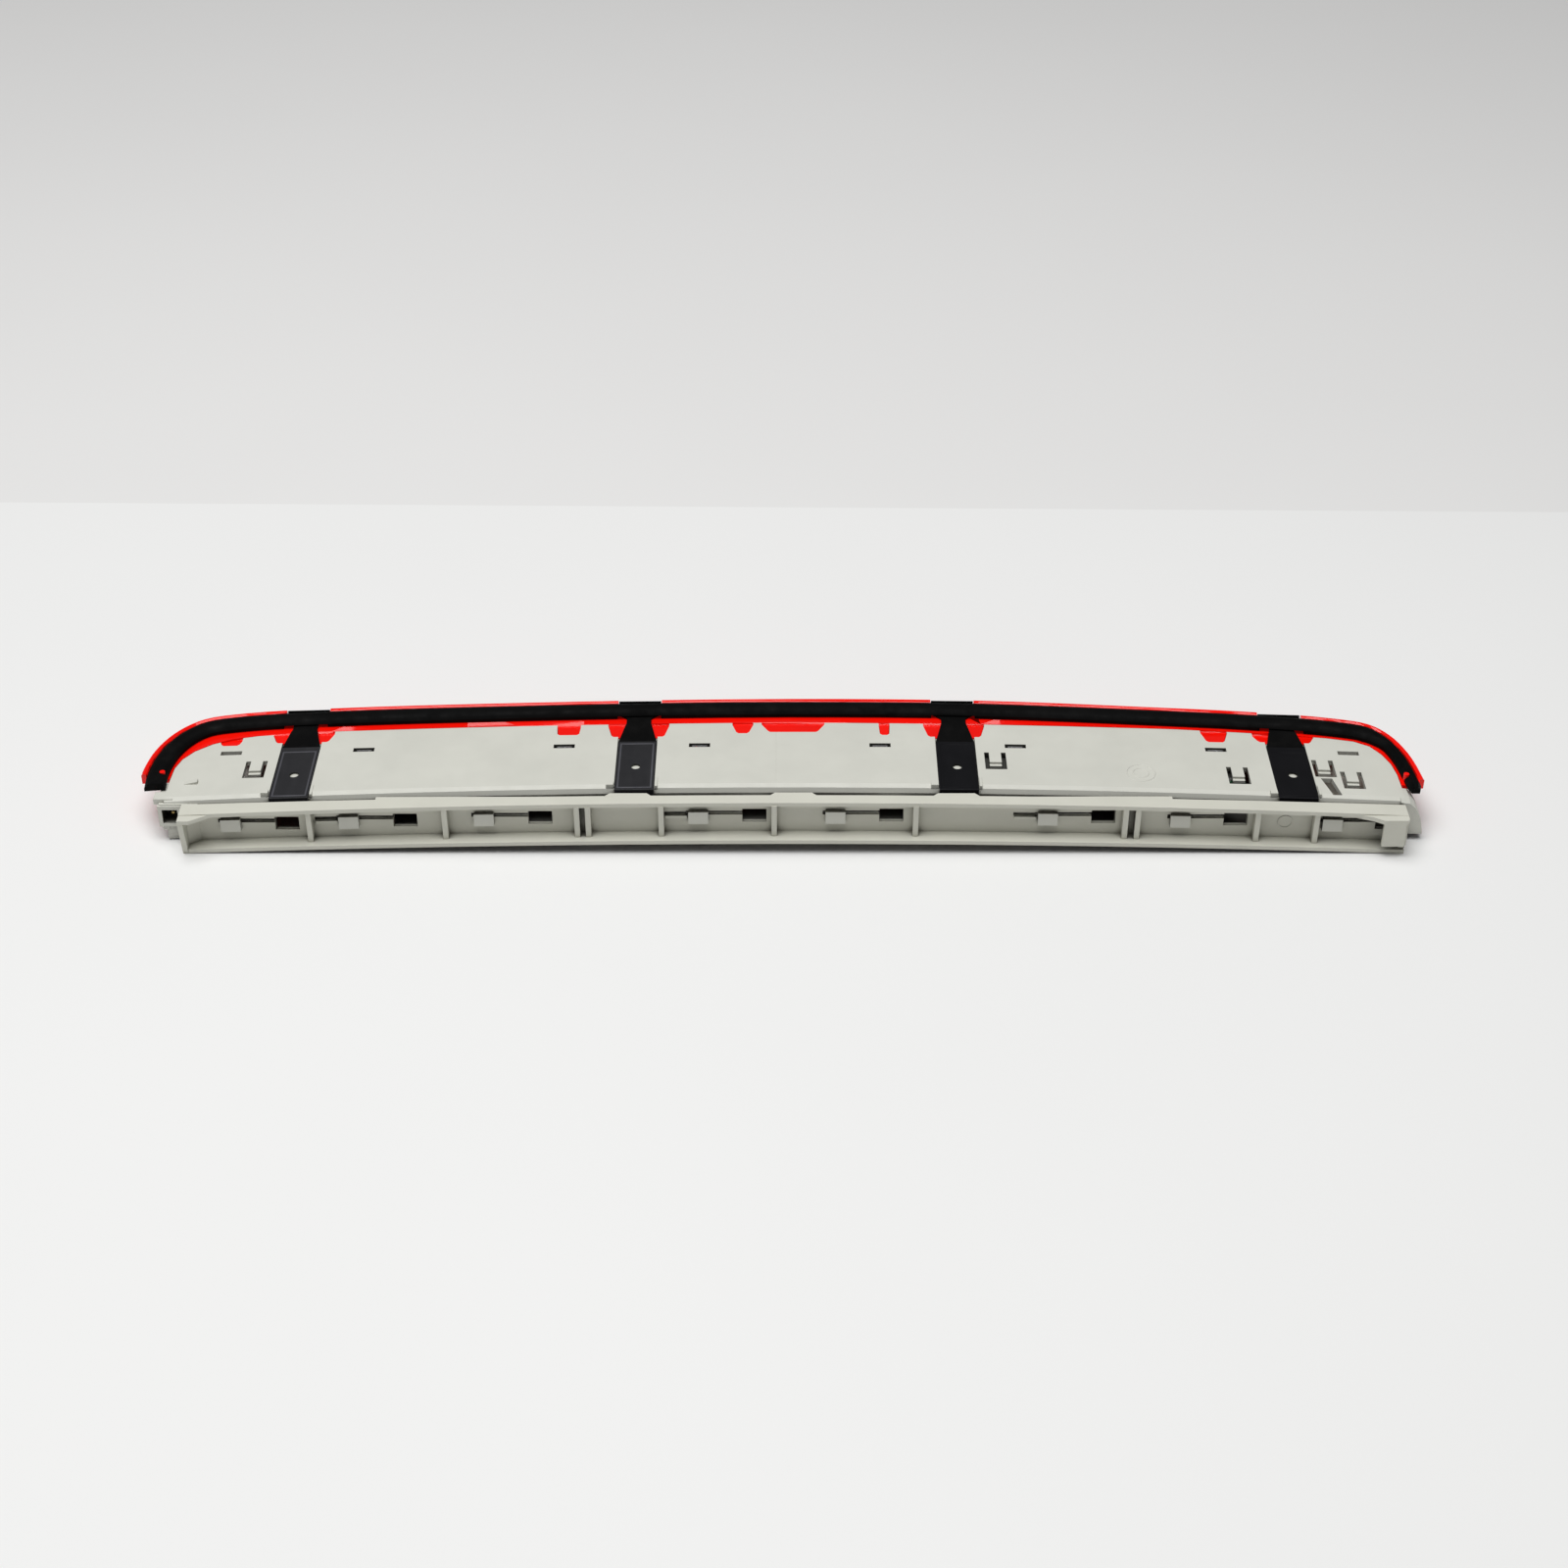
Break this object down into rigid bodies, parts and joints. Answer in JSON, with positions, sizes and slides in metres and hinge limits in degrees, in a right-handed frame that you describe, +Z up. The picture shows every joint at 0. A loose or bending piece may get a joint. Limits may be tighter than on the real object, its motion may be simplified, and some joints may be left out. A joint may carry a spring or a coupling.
{
  "type": "third brake light",
  "caption": "Long arched third brake light: red lens, grey housing, rubber rim seal, steel straps and a slotted rail that slides to lock on hooks.",
  "frame": {"origin": "centre of the bounding box in plan, at the level that the lamp rests on", "axes": "X along the lamp, to the right seen from the rail; +Y from the rail to the lens; +Z up through the panel, as the lamp lies in the picture"},
  "size_m": [0.5614, 0.0836, 0.0301],
  "materials": {
    "housing_plastic": "fine moulded texture",
    "red_lens": "polished transparent red",
    "seal_rubber": "matt",
    "strap_steel": "semi-gloss black coating",
    "rail_plastic": "fine moulded texture",
    "clear_plastic": "clear",
    "reflector_plastic": "bright white",
    "circuit_board": "solder mask",
    "led_package": "clear dome on a white package",
    "screw_steel": "zinc plated",
    "component_black": "moulded",
    "terminal_brass": "tin-bronze",
    "lead_red": "satin insulation",
    "lead_black": "satin insulation"
  },
  "bodies": {
    "lamp": {"rear_housing": "housing_plastic", "outer_lens": "red_lens", "lens_gasket": "seal_rubber", "mounting_strap_1": "strap_steel", "mounting_strap_2": "strap_steel", "mounting_strap_3": "strap_steel", "mounting_strap_4": "strap_steel", "inner_optic": "clear_plastic", "reflector_tray": "reflector_plastic", "led_board": "circuit_board", "led_1": "led_package", "led_2": "led_package", "led_3": "led_package", "led_4": "led_package", "led_5": "led_package", "led_6": "led_package", "led_7": "led_package", "led_8": "led_package", "led_9": "led_package", "led_10": "led_package", "led_11": "led_package", "led_12": "led_package", "led_13": "led_package", "led_14": "led_package", "led_15": "led_package", "led_16": "led_package", "board_screw_1": "screw_steel", "board_screw_2": "screw_steel", "board_screw_3": "screw_steel", "board_screw_4": "screw_steel", "series_resistor_1": "component_black", "series_resistor_2": "component_black", "series_resistor_3": "component_black", "series_resistor_4": "component_black", "polarity_diode": "component_black", "connector_terminal_1": "terminal_brass", "connector_terminal_2": "terminal_brass", "power_lead": "lead_red", "ground_lead": "lead_black"},
    "rail": {"retaining_rail": "rail_plastic"}
  },
  "joints": [
    {"name": "rail_slide", "type": "slide", "parent": "lamp", "child": "rail", "axis": [1, 0, 0], "range_m": [-0.0243, 0]}
  ]
}
